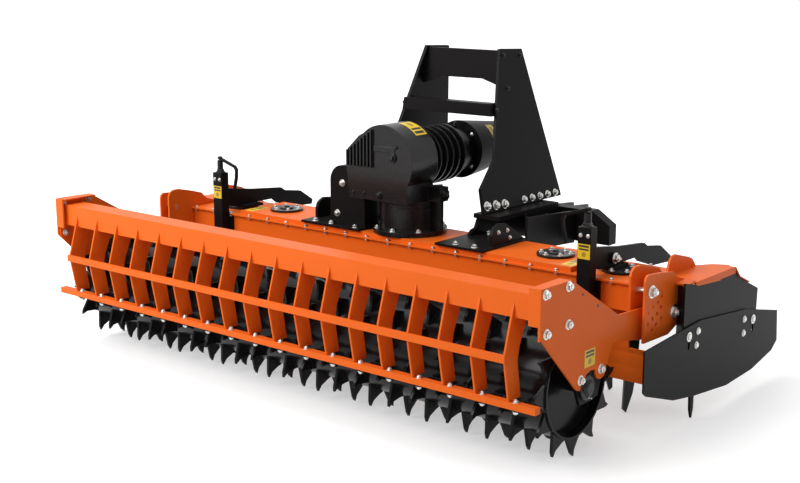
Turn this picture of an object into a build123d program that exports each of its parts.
"""Power harrow with a toothed packer roller, built as separate pieces in millimetres.

X runs to the right-hand side, Y runs forward towards the tractor and Z is up. The origin is on the
ground, midway along the machine, and the rotor line lies at rotor_y. Sizes across the machine, such
as pivot_y, are counted from the rotor line.
"""
from build123d import *
import math
import os

# ---------------------------------------------------------------- driving dimensions
front_reach = 765.0          # rotor line to the foremost point, the tip of the side deflector
rear_reach = 985.0           # rotor line to the rearmost point, the knee of the scraper ribs
rotor_y = (rear_reach - front_reach) / 2

rotor_count = 8
rotor_pitch = 312.5
tine_circle_r = 138.0
tine_width = 60.0
tine_thick = 16.0
tine_sweep = 24.0            # how far the tine's point trails its root
carrier_z = 330.0
carrier_t = 34.0
carrier_half = 161.0
carrier_width = 70.0
rotor_hub_r = 30.0
rotor_hub_play = 0.5         # under the boss, whose bearings are inside

trough_end = 40.0
trough_half = rotor_count * rotor_pitch / 2 + trough_end
trough_depth = 300.0
trough_floor_z = 430.0
trough_flange_z = 538.0
trough_boss_r = 95.0
trough_boss_drop = 58.0
flange_t = 8.0
flange_lip = 15.0
cover_half = 950.0
cover_t = 20.0
cap_r = 80.0
cap_t = 11.0

plate_t = 10.0
side_plate_t = 8.0
guide_gap = 52.0             # between the two guide plates of a side
guide_inner_x = trough_half + plate_t
guide_outer_x = guide_inner_x + 2 * plate_t + guide_gap
arm_inner = guide_inner_x + plate_t + 17
roller_plate_x = arm_inner + side_plate_t
pivot_y = -75.0
pivot_z = 443.0
pivot_r = 45.0
pivot_bolt_r = 15.0
pin_y = -258.0
pin_z = 556.0
pin_r = 12.0
pin_play = 0.05

bearing_t = 12.0
drum_gap = 23.0              # from the drum's end to the bearing plate
drum_r = 200.0
drum_wall = 9.0
drum_half = arm_inner - bearing_t - drum_gap
roller_y = -636.0
roller_tip_r = 272.0
ring_count = 19
ring_teeth = 12
ring_turn = 15.0             # each ring stands half a tooth on from the one before
tooth_t = 12.0
ring_pitch = 2 * (drum_half - tooth_t) / (ring_count - 1)
axle_r = 25.0
axle_play = 0.05

beam_rear = -925.0
beam_depth = 100.0
beam_top = 664.0
beam_height = 92.0
end_plate_t = 8.0

rib_t = 8.0
tie_t = 10.0                 # flat bar that ties the ribs at their knees
scraper_bar_rear = -953.0
scraper_bar_depth = 31.0
scraper_bar_z = 250.0
scraper_bar_size = 25.0
blade_width = 46.0
blade_t = 7.0
blade_gap = 7.0              # from the scraper blades to the drum

deflector_x = guide_outer_x + 58
deflector_t = 6.0
face_gap = 0.3               # between flat faces that slide on each other

post_x = 1045.0
post_width = 60.0
post_depth = 46.0
post_y = -(trough_depth / 2 + flange_lip + 1 + post_depth / 2)
post_wall = 6.0
post_top = 750.0
post_bottom = 420.0
slide_gap = 0.5
arm_t = 16.0

level_half = deflector_x - 30
level_y = -340.0             # rear edges of the curved board
level_bow = 20.0
level_low = 220.0
level_high = 430.0           # between the roller arms
level_step = 345.0           # outside them, where the board passes below the arms
level_t = 8.0

headstock_foot_x = 335.0
headstock_foot_z = 670.0
headstock_lean = 10.8
headstock_t = 16.0
base_t = 10.0
base_inner = 270.0
base_outer = 525.0
bracket_front = 560.0
bracket_t = 16.0
foot_plate_t = 20.0
foot_inner_x = 292.0
foot_outer_x = 430.0
hump_x = 497.0               # rounded plate outside the foot

top_link_y = 470.0
top_link_z = 1310.0
top_link_bore = 25.5
top_link_gap = 60.0          # between the two ears that hold the top link
pin_access_r = 22.0          # hole in the left plate through which the top link's pin is drawn
lower_link_y = 705.0
lower_link_z = 590.0
lower_link_bore = 28.5
lower_link_x = (395.0, 475.0)
ear_t = 12.0
lug_t = 16.0

tower_r = 138.0
tower_flange_r = 168.0
tower_flange_t = 22.0
tower_top = 726.0
case_r = 165.0
case_rear = -190.0
case_front = -10.0
case_rib_count = 8
case_rib_pitch = 20.0
barrel_r = 105.0
fin_r = 130.0
fin_count = 6
fin_pitch = 45.0
fin_t = 9.0
shield_y = 360.0
shield_end = 650.0
shield_t = 6.0
shield_rear_r = 135.0
shield_front_r = 105.0

pto_z = 900.0
pto_r = 17.5                 # splined end, 35 mm across
pto_journal_r = 27.5
pto_play = 0.05
pto_step_y = 540.0
pto_end = 655.0

plan = Plane(origin=(0, rotor_y, 0), x_dir=(1, 0, 0), z_dir=(0, 0, 1))
side = Plane(origin=(0, rotor_y, 0), x_dir=(0, 1, 0), z_dir=(1, 0, 0))
rear = Plane(origin=(0, rotor_y, 0), x_dir=(1, 0, 0), z_dir=(0, -1, 0))

os.makedirs("parts", exist_ok=True)


def save(node, name):
    node.part.label = name
    export_step(node.part, f"parts/{name}.step")


def save_pair(node, name):
    """Write a right-hand piece and its mirrored left-hand twin."""
    save(node, f"{name}_right")
    with BuildPart() as twin:
        mirror(node.part, about=Plane.YZ)
    save(twin, f"{name}_left")


def slab(x_low, x_high, y_low, y_high, z_low, z_high):
    """Box between two corners, Y counted from the rotor line."""
    with BuildSketch(plan.offset(z_low)) as base:
        with Locations(((x_low + x_high) / 2, (y_low + y_high) / 2)):
            Rectangle(x_high - x_low, y_high - y_low)
    extrude(base.sketch, amount=z_high - z_low)


def side_plate(x_low, x_high, *points):
    """Flat plate with the given outline in Y and Z, between two X positions."""
    with BuildSketch(side.offset(x_low)) as outline:
        with BuildLine():
            Polyline(*points, close=True)
        make_face()
    extrude(outline.sketch, amount=x_high - x_low)


def across_plate(y_low, y_high, *points):
    """Flat plate with the given outline in X and Z, between two Y positions."""
    with BuildSketch(rear.offset(-y_low)) as outline:
        with BuildLine():
            Polyline(*points, close=True)
        make_face()
    extrude(outline.sketch, amount=y_low - y_high)


# ---------------------------------------------------------------- trough
flange_top = trough_flange_z + flange_t
cover_top = flange_top + cover_t
lip = trough_depth / 2 + flange_lip
boss_bottom = trough_floor_z - trough_boss_drop
with BuildPart() as trough:
    slab(-trough_half, trough_half, -trough_depth / 2, trough_depth / 2, trough_floor_z, trough_flange_z)
    slab(-trough_half, trough_half, -lip, lip, trough_flange_z, flange_top)
    with BuildSketch(plan.offset(trough_floor_z)):
        with GridLocations(rotor_pitch, 1, rotor_count, 1):
            Circle(trough_boss_r)
    extrude(amount=-trough_boss_drop, taper=12)
save(trough, "trough")

with BuildPart() as trough_cover:
    slab(-cover_half, cover_half, -trough_depth / 2, trough_depth / 2, flange_top, cover_top)
save(trough_cover, "trough_cover")

with BuildPart() as bearing_caps:
    for pitches, seat in ((2.5, cover_top), (3.5, flange_top)):
        with BuildSketch(plan.offset(seat)):
            with Locations((-pitches * rotor_pitch, 0), (pitches * rotor_pitch, 0)):
                Circle(cap_r)
        extrude(amount=cap_t)
save(bearing_caps, "bearing_caps")

# ---------------------------------------------------------------- rotors
for index in range(rotor_count):
    rotor_x = (index - (rotor_count - 1) / 2) * rotor_pitch
    phase = -39 if index % 2 else 129
    spot = Plane(origin=(rotor_x, rotor_y, 0), x_dir=(1, 0, 0), z_dir=(0, 0, 1)).rotated((0, 0, phase))
    with BuildPart() as rotor:
        with BuildSketch(spot.offset(carrier_z)):
            SlotOverall(2 * carrier_half, carrier_width)
        extrude(amount=carrier_t)
        with BuildSketch(spot.offset(carrier_z + carrier_t)):
            Circle(rotor_hub_r)
        extrude(amount=boss_bottom - rotor_hub_play - carrier_z - carrier_t)
        for turn in (0, 180):
            radial = math.radians(phase + turn)
            root = (rotor_x + (tine_circle_r - tine_thick / 2) * math.cos(radial),
                    rotor_y + (tine_circle_r - tine_thick / 2) * math.sin(radial), 0)
            flat = Plane(origin=root, x_dir=(-math.sin(radial), math.cos(radial), 0),
                         z_dir=(math.cos(radial), math.sin(radial), 0))
            half = tine_width / 2
            with BuildSketch(flat):
                with BuildLine():
                    Polyline((-half, carrier_z), (half, carrier_z), (half, carrier_z - 30), (half * 0.8, 190),
                             (half * 0.3, 80), (8 - tine_sweep, 0), (-tine_sweep - 6, 12), (-half * 0.85, 160),
                             (-half, carrier_z - 30), close=True)
                make_face()
            extrude(amount=tine_thick)
    save(rotor, f"rotor_{index + 1}")

# ---------------------------------------------------------------- guides at the trough ends
web_rear = -18.0
web_front = web_rear + 12.0
guide_foot = ((-55, 575), (web_front, 560), (web_front, 400), (-115, 360), (-305, 365))
inner_outline = ((-305, 612), (-297, 632), (-275, 645), (-235, 645), (-158, 627), (-90, 608), *guide_foot)
outer_outline = ((-305, 600), (-300, 615), (-285, 625), (-180, 616), (-95, 603), *guide_foot)
setting_holes = ((-202, 547), (-177, 523), (-206, 505), (-244, 494), (-181, 481), (-280, 474),
                 (-210, 462), (-244, 449), (-177, 437), (-277, 435), (-215, 421), (-244, 405))
with BuildPart() as guide:
    for x_low, outline in ((guide_inner_x, inner_outline), (guide_outer_x - plate_t, outer_outline)):
        with BuildSketch(side.offset(x_low)):
            with BuildLine():
                Polyline(*outline, close=True)
            make_face()
            with Locations((pivot_y, pivot_z)):
                Circle(pivot_bolt_r, mode=Mode.SUBTRACT)
            with Locations((pin_y, pin_z)):
                Circle(pin_r, mode=Mode.SUBTRACT)
            if x_low > guide_inner_x:
                with Locations(*setting_holes):
                    Circle(7.5, mode=Mode.SUBTRACT)
        extrude(amount=plate_t)
    slab(guide_inner_x + plate_t, guide_outer_x - plate_t, web_rear, web_front, 400, 560)
    slab(trough_half, guide_inner_x, -lip, lip, trough_floor_z, trough_flange_z)
    mirror(about=Plane.YZ)
save(guide, "guides")

with BuildPart() as depth_pins:
    for radius, extra, head in ((pivot_bolt_r, 0, 24), (pin_r, 1, 18)):
        y, z = ((pivot_y, pivot_z), (pin_y, pin_z))[extra]
        with BuildSketch(side.offset(guide_inner_x)):
            with Locations((y, z)):
                Circle(radius)
        extrude(amount=guide_outer_x - guide_inner_x)
        with BuildSketch(side.offset(guide_outer_x)):
            with Locations((y, z)):
                RegularPolygon(head, 6)
        extrude(amount=16)
    mirror(about=Plane.YZ)
save(depth_pins, "depth_pins")

# ---------------------------------------------------------------- roller frame
lobes = ((-684, 311), (-546, 321))
with BuildPart() as roller_arm:
    with BuildSketch(side.offset(arm_inner)) as arm_sketch:
        with BuildLine():
            Polyline((-948, 693), (-758, 691), (-430, 497), (-253, 488), (pivot_y, pivot_z + pivot_r),
                     (pivot_y, pivot_z - pivot_r), (-259, 364), (-464, 404), (-506, 326), lobes[1],
                     (-615, 332), lobes[0], (-714, 285), (-948, 524), close=True)
        make_face()
        fillet(arm_sketch.vertices().sort_by_distance((-464, 404, 0))[0], 50)
        with Locations(*lobes):
            Circle(38)
        with Locations((pivot_y, pivot_z)):
            Circle(pivot_r)
            Circle(pivot_bolt_r + pin_play, mode=Mode.SUBTRACT)
    extrude(amount=side_plate_t)
    slab(arm_inner - 42, arm_inner, -948, -940, 560, 693)
    slab(arm_inner - 42, arm_inner, -940, -762, 685, 691)
    mirror(about=Plane.YZ)
save(roller_arm, "roller_arms")

roller_spot = (roller_y, roller_tip_r)
with BuildPart() as roller_bearing:
    with BuildSketch(side.offset(arm_inner - bearing_t)):
        with BuildLine():
            Polyline((-722, 330), (-508, 340), (-552, 220), (-600, 212), (-672, 212), close=True)
        make_face()
        with Locations(roller_spot):
            Circle(axle_r + axle_play, mode=Mode.SUBTRACT)
    extrude(amount=bearing_t)
    mirror(about=Plane.YZ)
save(roller_bearing, "roller_bearings")

beam_bottom = beam_top - beam_height
with BuildPart() as roller_beam:
    slab(-arm_inner + end_plate_t, arm_inner - end_plate_t, beam_rear, beam_rear + beam_depth, beam_bottom, beam_top)
    slab(arm_inner - end_plate_t, arm_inner, -939, -762, 508, 684)
    slab(-arm_inner, -arm_inner + end_plate_t, -939, -762, 508, 684)
save(roller_beam, "roller_beam")

bar_top = scraper_bar_z + scraper_bar_size
with BuildPart() as scraper_ribs:
    with BuildSketch(side.offset(-1.5 * rib_t)) as rib:
        with BuildLine():
            Polyline((beam_rear, 621), (tie_t - rear_reach, 452), (tie_t - rear_reach, 419), (-948, bar_top),
                     (-877, bar_top), (-900, 410), (-889, 462), (-840, beam_bottom), (beam_rear, beam_bottom),
                     close=True)
        make_face()
    for k in range(ring_count - 1):
        rib_x = (k - (ring_count - 2) / 2) * ring_pitch
        extrude(rib.sketch.moved(Location((rib_x + rib_t, 0, 0))), amount=rib_t)
save(scraper_ribs, "scraper_ribs")

tie_half = (ring_count - 2) / 2 * ring_pitch + rib_t
with BuildPart() as rib_tie:
    slab(-tie_half, tie_half, -rear_reach, -rear_reach + tie_t, 421, 450)
save(rib_tie, "rib_tie")

bar_half = arm_inner - 2
with BuildPart() as scraper_bar:
    slab(-bar_half, bar_half, scraper_bar_rear, scraper_bar_rear + scraper_bar_depth, scraper_bar_z, bar_top)
save(scraper_bar, "scraper_bar")

blade_front = roller_y - drum_r - blade_gap
with BuildPart() as scraper_blades:
    for k in range(ring_count - 1):
        rib_x = (k - (ring_count - 2) / 2) * ring_pitch
        slab(rib_x, rib_x + blade_width, -945, blade_front, scraper_bar_z - blade_t, scraper_bar_z)
save(scraper_blades, "scraper_blades")

# ---------------------------------------------------------------- packer roller
axle = Location(roller_spot)
sink = drum_r - drum_wall / 2
with BuildSketch() as tooth:
    with BuildLine():
        Polyline((sink, -48), (drum_r + 24, -33), (roller_tip_r - 14, -15), (roller_tip_r, 0), (roller_tip_r - 26, 4),
                 (drum_r + 12, 28), (sink, 44), close=True)
    make_face()
with BuildPart() as roller:
    with BuildSketch(side.offset(-drum_half)):
        with Locations(axle):
            Circle(drum_r)
            Circle(drum_r - drum_wall, mode=Mode.SUBTRACT)
    extrude(amount=2 * drum_half)
    for sign in (-1, 1):
        with BuildSketch(side.offset(sign * (drum_half - 40))):
            with Locations(axle):
                Circle(drum_r - drum_wall / 2)
        extrude(amount=-sign * 12)
        with BuildSketch(side.offset(sign * (drum_half - 40))):
            with Locations(axle):
                Circle(axle_r)
        extrude(amount=sign * (arm_inner - 1 - drum_half + 40))
    for ring in range(ring_count):
        ring_x = (ring - (ring_count - 1) / 2) * ring_pitch
        with BuildSketch(side.offset(ring_x - tooth_t / 2)):
            with Locations(axle):
                with PolarLocations(0, ring_teeth, start_angle=ring_turn * (ring % 2)):
                    add(tooth.sketch)
    extrude(amount=tooth_t)
save(roller, "roller")

# ---------------------------------------------------------------- levelling bar and its posts
half_w = post_width / 2
half_d = post_depth / 2
play = post_wall + slide_gap
level_mid = (level_low + level_high) / 2
board = [(level_y, level_low), (level_y + 0.7 * level_bow, (level_low + level_mid) / 2),
         (level_y + level_bow, level_mid), (level_y + 0.7 * level_bow, (level_mid + level_high) / 2),
         (level_y, level_high)]
board += [(y + level_t, z) for y, z in reversed(board)]
board_half = arm_inner - 8
with BuildPart() as levelling_bar:
    side_plate(-board_half, board_half, *board)
    side_plate(-level_half, -board_half, *[(y, min(z, level_step)) for y, z in board])
    side_plate(board_half, level_half, *[(y, min(z, level_step)) for y, z in board])
    for x in (-post_x, post_x):
        slab(x - half_w + play, x + half_w - play, post_y - half_d + play, post_y + half_d - play, 290, 620)
        slab(x - 18, x + 18, level_y + level_bow + 2, post_y, 290, 330)
save(levelling_bar, "levelling_bar")

with BuildPart() as post:
    slab(post_x - half_w, post_x + half_w, post_y - half_d, post_y + half_d, post_bottom, post_top)
    with BuildSketch(plan.offset(post_bottom)):
        with Locations((post_x, post_y)):
            Rectangle(post_width - 2 * post_wall, post_depth - 2 * post_wall)
    extrude(amount=post_top - post_bottom - 8, mode=Mode.SUBTRACT)
    slab(post_x - 45, post_x + 45, post_y + half_d, -trough_depth / 2, 440, trough_flange_z - 6)
    mirror(about=Plane.YZ)
save(post, "posts")

cap_top = flange_top + cap_t
arm_seat = cap_top + 12
arm_x = post_x + 12
with BuildPart() as post_arm:
    side_plate(arm_x - arm_t / 2, arm_x + arm_t / 2, (post_y + half_d, arm_seat + 12), (post_y + half_d, 664),
               (-120, 661), (30, 638), (235, 618), (262, 600), (376, 583), (466, 525), (458, 500), (313, 508),
               (200, 545), (lip + 5, arm_seat), (-120, arm_seat))
    slab(arm_x - 50, arm_x + 34, -60, 60, cap_top, arm_seat)
    with BuildSketch(side.offset(arm_x - arm_t / 2)):
        with Locations((-23, 600)):
            Circle(22)
    extrude(amount=arm_t + 12)
    mirror(about=Plane.YZ)
save(post_arm, "post_arms")

crank_t = 12.0
crank_turn = 17.0
crank_plane = Plane(origin=(post_x, rotor_y + post_y, post_top), x_dir=(-1, 0, 0), z_dir=(0, 1, 0))
with BuildPart() as crank:
    with BuildSketch(plan.offset(post_top)):
        with Locations((post_x, post_y)):
            Circle(13)
    extrude(amount=60)
    with BuildSketch(crank_plane.rotated((0, -crank_turn, 0)).offset(-crank_t / 2)):
        with BuildLine():
            Polyline((-32, 60), (-32, 72), (90, 72), (108, 60), (118, 20), (120, -45), (108, -45), (106, 16),
                     (98, 50), (86, 60), close=True)
        make_face()
    extrude(amount=crank_t)
    mirror(about=Plane.YZ)
save(crank, "cranks")

# ---------------------------------------------------------------- side deflectors
bolt_slots = ((-66, 330, 62), (507, 278, 70))
with BuildPart() as deflector_lower:
    with BuildSketch(side.offset(deflector_x)):
        with BuildLine():
            Polyline((-410, 371), (-124, 388), (31, 396), (436, 356), (751, 286), (765, 149), (714, 114),
                     (519, 76), (285, 66), (-6, 96), (-172, 122), (-385, 193), (-409, 211), close=True)
        make_face()
        for y, z, length in bolt_slots:
            with Locations(Location((y, z), 90)):
                SlotOverall(length, 16, mode=Mode.SUBTRACT)
    extrude(amount=deflector_t)
    side_plate(deflector_x - 10, deflector_x, (-25, 225), (15, 225), (10, 40), (-2, 3), (-15, 40))
save_pair(deflector_lower, "deflector_lower")

upper_x = deflector_x - face_gap - deflector_t
bracket_z = 550.0
lip_low = 526.0
with BuildPart() as deflector_upper:
    side_plate(upper_x, upper_x + deflector_t, (-102, 566), (-20, 547), (-20, bracket_z), (318, bracket_z), (360, 506),
               (480, 454), (552, 423), (544, 250), (-90, 280), (-102, 300))
    mirror(about=Plane.YZ)
save(deflector_upper, "deflector_uppers")

bracket_edge = upper_x + deflector_t
with BuildPart() as deflector_bracket:
    with BuildSketch(plan.offset(bracket_z)):
        with BuildLine():
            Polyline((guide_inner_x, web_front), (guide_outer_x, web_front), (bracket_edge + deflector_t, -20),
                     (bracket_edge + deflector_t, 270), (bracket_edge - 30, 330), (guide_inner_x + 40, 300),
                     (guide_inner_x, 240), close=True)
        make_face()
    extrude(amount=8)
    side_plate(bracket_edge, bracket_edge + deflector_t, (-20, bracket_z), (-20, 545), (0, 540), (182, lip_low),
               (182, bracket_z))
    side_plate(guide_inner_x - plate_t, guide_inner_x, (lip, trough_flange_z - 8), (lip, 545), (web_front, 560),
               (14, 612), (34, 631), (60, 634), (180, 602), (205, 590), (246, 545), (240, 515))
    mirror(about=Plane.YZ)
save(deflector_bracket, "deflector_brackets")

# ---------------------------------------------------------------- headstock
lean = math.radians(headstock_lean)
tilted = Plane(origin=(headstock_foot_x, rotor_y, headstock_foot_z), x_dir=(0, 1, 0),
               z_dir=(math.cos(lean), 0, math.sin(lean)))
with BuildPart() as headstock_plates:
    with BuildSketch(tilted):
        with BuildLine():
            Polyline((85, 0), (87, 109), (216, 225), (375, 714), (544, 706), (704, 14), (704, 0), close=True)
        make_face()
    extrude(amount=headstock_t)
    mirror(about=Plane.YZ)
    with BuildSketch(side.offset(-headstock_foot_x)):
        with Locations((top_link_y, top_link_z)):
            Circle(pin_access_r)
    extrude(amount=headstock_foot_x, mode=Mode.SUBTRACT)
save(headstock_plates, "headstock_plates")

front_z = 1450.0             # above the headstock's top
with BuildPart() as between_plates:
    half_top = headstock_foot_x - (front_z - headstock_foot_z) * math.tan(lean)
    across_plate(-rear_reach, front_reach, (-headstock_foot_x, headstock_foot_z), (headstock_foot_x, headstock_foot_z),
                 (half_top, front_z), (-half_top, front_z))

ear_x = top_link_gap / 2
with BuildPart() as headstock_top_beam:
    across_plate(385, 399, (-headstock_foot_x, 1365), (headstock_foot_x, 1365), (headstock_foot_x, 1165),
                 (110, 1233), (-110, 1233), (-headstock_foot_x, 1165))
    slab(-headstock_foot_x, headstock_foot_x, 399, 510, 1233, 1245)
    add(between_plates.part, mode=Mode.INTERSECT)
    for x in (-ear_x - ear_t, ear_x):
        with BuildSketch(side.offset(x)):
            with BuildLine():
                Polyline((399, 1245), (399, 1360), (top_link_y + 20, 1350), (top_link_y + 36, 1300),
                         (top_link_y + 20, 1245), close=True)
            make_face()
            with Locations((top_link_y, top_link_z)):
                Circle(top_link_bore / 2, mode=Mode.SUBTRACT)
        extrude(amount=ear_t)
save(headstock_top_beam, "headstock_top_beam")

with BuildPart() as headstock_crossbar:
    slab(-headstock_foot_x, headstock_foot_x, 255, 315, 1080, 1136)
    add(between_plates.part, mode=Mode.INTERSECT)
save(headstock_crossbar, "headstock_crossbar")

foot_top = headstock_foot_z - foot_plate_t
with BuildPart() as hitch_beam:
    across_plate(bracket_front, bracket_front + 60, (foot_inner_x, 500), (foot_inner_x, foot_top), (610, foot_top),
                 (705, 590), (705, 500))
    mirror(about=Plane.YZ)
save(hitch_beam, "hitch_beam")

base_top = cover_top + base_t
with BuildPart() as foot_bracket:
    side_plate(foot_inner_x, foot_inner_x + bracket_t, (41, base_top), (41, 582), (60, 600), (87, 606),
               (110, foot_top), (bracket_front, foot_top), (bracket_front, 520), (470, 505), (190, base_top))
    side_plate(foot_outer_x - bracket_t, foot_outer_x, (300, foot_top), (bracket_front, foot_top),
               (bracket_front, 520), (470, 505), (360, 540))
    slab(foot_inner_x, foot_outer_x, 85, bracket_front, foot_top, headstock_foot_z)
    side_plate(hump_x, hump_x + bracket_t, (-80, base_top), (-80, 625), (-72, 645), (-55, 658), (-30, 668),
               (20, 662), (100, 615), (190, 556), (170, 540), (145, base_top))
    slab(base_inner, base_outer, -lip, lip - 2, cover_top, base_top)
    mirror(about=Plane.YZ)
save(foot_bracket, "foot_brackets")

stay_left = -378.0
with BuildPart() as gearbox_stay:
    with BuildSketch(rear.offset(120)) as stay_sketch:
        with BuildLine():
            Polyline((stay_left, base_top), (stay_left, 850), (-213, 850), (-196, tower_top), (-tower_flange_r, 700),
                     (-tower_flange_r, base_top), close=True)
        make_face()
        fillet(stay_sketch.vertices().sort_by_distance((stay_left, 850, 0))[0], 75)
    extrude(amount=-90)
    slab(-base_inner, -tower_flange_r, -lip, lip - 2, cover_top, base_top)
save(gearbox_stay, "gearbox_stay")

with BuildPart() as lower_hitch:
    for x in lower_link_x:
        with BuildSketch(side.offset(x - lug_t / 2)):
            with BuildLine():
                Polyline((bracket_front + 60, foot_top), (lower_link_y + 35, 640), (lower_link_y + 35, 545),
                         (bracket_front + 60, 505), close=True)
            make_face()
            with Locations((lower_link_y, lower_link_z)):
                Circle(lower_link_bore / 2, mode=Mode.SUBTRACT)
        extrude(amount=lug_t)
    mirror(about=Plane.YZ)
save(lower_hitch, "lower_hitch_lugs")

# ---------------------------------------------------------------- gearbox
with BuildPart() as gearbox_tower:
    for radius, low, high in ((tower_flange_r, cover_top, cover_top + tower_flange_t),
                              (tower_r, cover_top + tower_flange_t, tower_top)):
        with BuildSketch(plan.offset(low)):
            Circle(radius)
        extrude(amount=high - low)
    slab(0, tower_r + 46, -8, 8, cover_top + tower_flange_t, tower_top - 6)
save(gearbox_tower, "gearbox_tower")

case_slope = ((-206, 945), (-66, 1043))
with BuildPart() as gearbox_housing:
    with BuildSketch(rear.offset(-case_rear)) as case_sketch:
        with BuildLine():
            Polyline((0, tower_top), (-195, tower_top), (-215, 871), case_slope[0], (-139, 1008), case_slope[1],
                     (0, pto_z), close=True)
        make_face()
        with Locations((0, pto_z)):
            Circle(case_r)
        with Locations((0, (tower_top + pto_z) / 2)):
            Rectangle(2 * tower_r, pto_z - tower_top)
    extrude(amount=case_rear - case_front)
    with BuildSketch(rear.offset(-case_rear)):
        for k in range(case_rib_count):
            rib_x = case_slope[0][0] + 4 + k * case_rib_pitch
            rib_high = case_slope[0][1] - 6 + (rib_x - case_slope[0][0]) * 0.7
            with Locations((rib_x, (rib_high + 872) / 2)):
                Rectangle(7, rib_high - 872)
    extrude(amount=12)
    slab(-tower_r, tower_r, case_front, 110, tower_top, 750)
    slab(tower_r, 205, -45, 15, tower_top, 790)
save(gearbox_housing, "gearbox_housing")

with BuildPart() as gearbox_barrel:
    with BuildSketch(rear.offset(-case_front)):
        with Locations((0, pto_z)):
            Circle(barrel_r)
            Circle(pto_journal_r + pto_play, mode=Mode.SUBTRACT)
    extrude(amount=case_front - shield_y)
    for k in range(fin_count):
        with BuildSketch(rear.offset(-(10 + fin_pitch * k))):
            with Locations((0, pto_z)):
                Circle(fin_r)
                Circle(barrel_r, mode=Mode.SUBTRACT)
        extrude(amount=-fin_t)
save(gearbox_barrel, "gearbox_barrel")

with BuildPart() as pto_shield:
    with BuildSketch(side):
        with BuildLine():
            Polyline((shield_y, pto_z + pto_journal_r + 15), (shield_y, pto_z + shield_rear_r),
                     (shield_end, pto_z + shield_front_r), (shield_end, pto_z + shield_front_r - shield_t),
                     (shield_y + 8, pto_z + shield_rear_r - shield_t), (shield_y + 8, pto_z + pto_journal_r + 15),
                     close=True)
        make_face()
    revolve(axis=Axis((0, rotor_y, pto_z), (0, 1, 0)))
    with BuildSketch(side.offset(-200)):
        with BuildLine():
            Polyline((shield_y + 60, pto_z - 200), (shield_end - 110, pto_z - 40), (shield_end + 10, pto_z - 40),
                     (shield_end + 10, pto_z - 200), close=True)
        make_face()
    extrude(amount=400, mode=Mode.SUBTRACT)
save(pto_shield, "pto_shield")

with BuildPart() as pto_shaft:
    for radius, low, high in ((pto_journal_r, 250, pto_step_y), (pto_r, pto_step_y, pto_end)):
        with BuildSketch(rear.offset(-low)):
            with Locations((0, pto_z)):
                Circle(radius)
        extrude(amount=low - high)
save(pto_shaft, "pto_shaft")
